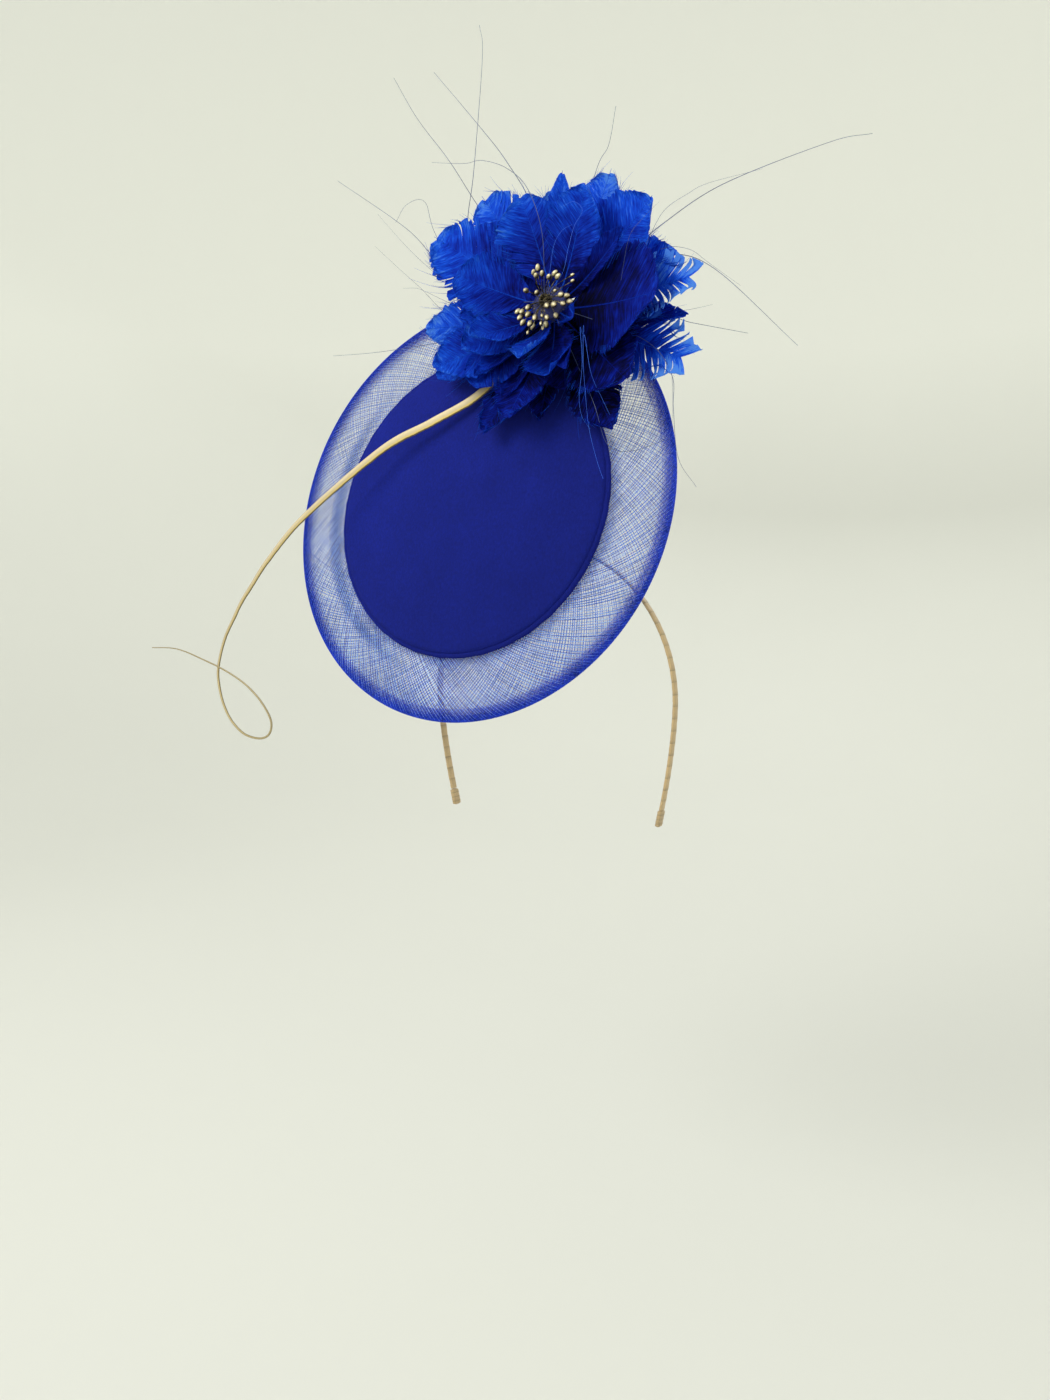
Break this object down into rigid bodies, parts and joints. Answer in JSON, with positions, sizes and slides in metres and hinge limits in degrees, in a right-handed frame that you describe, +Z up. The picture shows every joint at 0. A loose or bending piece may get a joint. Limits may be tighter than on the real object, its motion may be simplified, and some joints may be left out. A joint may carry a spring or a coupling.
{
  "type": "fascinator",
  "caption": "Tilted disc fascinator on a slim headband, with a crin brim, a feather flower with beaded stamens, a curled quill and fine strands",
  "frame": {"origin": "the inside of the headband at its top, where it sits on the head", "axes": "+Z up, the wearer looks along -Y, +X is the wearer's left"},
  "size_m": [0.3953, 0.1343, 0.4467],
  "materials": {
    "base_crepe": "matt crepe stretched over a stiff shell",
    "crin": "sheer braided crinoline, denser at its folded outer edge",
    "feather": "dyed goose feather, soft sheen, translucent at the tips",
    "strand": "bare dyed feather strand",
    "stamen_gold": "antique gold pearls on wire",
    "quill_gold": "gold painted quill with a rough edge",
    "band_satin": "satin ribbon wound round a metal band",
    "band_tip": "satin wound tip",
    "felt": "plain felt"
  },
  "bodies": {
    "root": {"headband": "band_satin", "band_tip_left": "band_tip", "band_tip_right": "band_tip", "base": "base_crepe", "brim": "crin", "sewing_pad": "felt", "flower_stem": "feather", "low_petal_1": "feather", "low_petal_2": "feather", "low_petal_3": "feather", "low_petal_4": "feather", "low_petal_5": "feather", "low_petal_6": "feather", "low_petal_7": "feather", "low_petal_8": "feather", "low_petal_9": "feather", "low_petal_10": "feather", "mid_petal_1": "feather", "mid_petal_2": "feather", "mid_petal_3": "feather", "mid_petal_4": "feather", "mid_petal_5": "feather", "mid_petal_6": "feather", "mid_petal_7": "feather", "top_petal_1": "feather", "top_petal_2": "feather", "top_petal_3": "feather", "top_petal_4": "feather", "top_petal_5": "feather", "inner_petal_1": "feather", "inner_petal_2": "feather", "inner_petal_3": "feather", "stamens": "stamen_gold", "quill": "quill_gold", "strand_1": "strand", "strand_2": "strand", "strand_3": "strand", "strand_4": "strand", "strand_5": "strand", "strand_6": "strand", "strand_7": "strand", "strand_8": "strand"}
  },
  "joints": []
}
